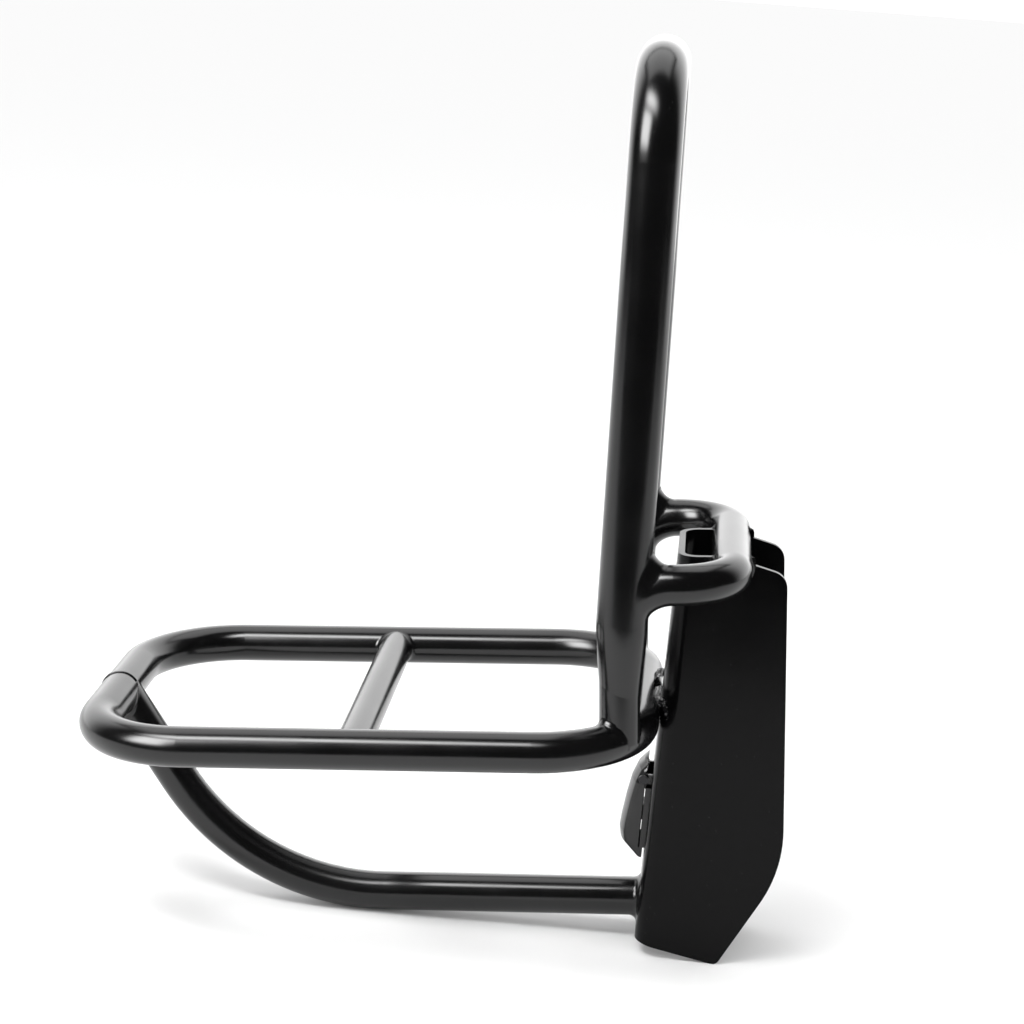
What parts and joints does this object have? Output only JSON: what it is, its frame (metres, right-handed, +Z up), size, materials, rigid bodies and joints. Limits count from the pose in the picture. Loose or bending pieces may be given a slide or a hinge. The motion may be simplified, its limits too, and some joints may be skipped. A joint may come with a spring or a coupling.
{
  "type": "bicycle luggage rack",
  "caption": "Welded tube luggage rack for the front block of a folding bicycle: flat deck, tall back hoop, under brace and a folded sheet receiver with a sprung latch lever.",
  "frame": {"origin": "middle of the rack's footprint, level with the lowest corner of the receiver's flanges, with the deck level as it hangs on a bicycle", "axes": "+Z up, parallel to the hoop's rise; -X ahead of the bicycle, towards the deck's front edge; Y across, Y = 0 the middle plane, rider's left is -Y"},
  "size_m": [0.284, 0.165, 0.3735],
  "materials": {
    "frame_coat": "gloss black powder coat over steel tube and sheet",
    "weld_coat": "gloss black powder coat over weld metal",
    "latch_coat": "gloss black coat over pressed steel",
    "bare_steel": "bare steel pin and clip",
    "spring_wire": "drawn spring wire"
  },
  "bodies": {
    "frame": {"deck_loop": "frame_coat", "deck_cross_bar": "frame_coat", "back_hoop": "frame_coat", "neck_loop": "frame_coat", "under_brace": "frame_coat", "receiver_shell": "frame_coat", "latch_bracket": "latch_coat", "latch_pin": "bare_steel", "pin_clip": "bare_steel", "deck_seam_weld": "weld_coat", "cross_bar_weld_left": "weld_coat", "cross_bar_weld_right": "weld_coat", "leg_weld_left": "weld_coat", "leg_weld_right": "weld_coat", "hoop_weld_left": "weld_coat", "hoop_weld_right": "weld_coat", "brace_front_weld": "weld_coat", "brace_receiver_weld": "weld_coat", "deck_receiver_weld_left": "weld_coat", "deck_receiver_weld_right": "weld_coat", "neck_receiver_weld_left": "weld_coat", "neck_receiver_weld_right": "weld_coat"},
    "lever": {"latch_lever": "latch_coat", "latch_tooth": "latch_coat", "latch_spring": "spring_wire"}
  },
  "joints": [
    {"name": "lever_pivot", "type": "hinge", "parent": "frame", "child": "lever", "pos_m": [0.08495, 0, 0.07441], "axis": [0, 1, 0], "range_deg": [0, 18], "stiffness_Nm_per_rad": 0.012, "springref_deg": -68.75}
  ]
}
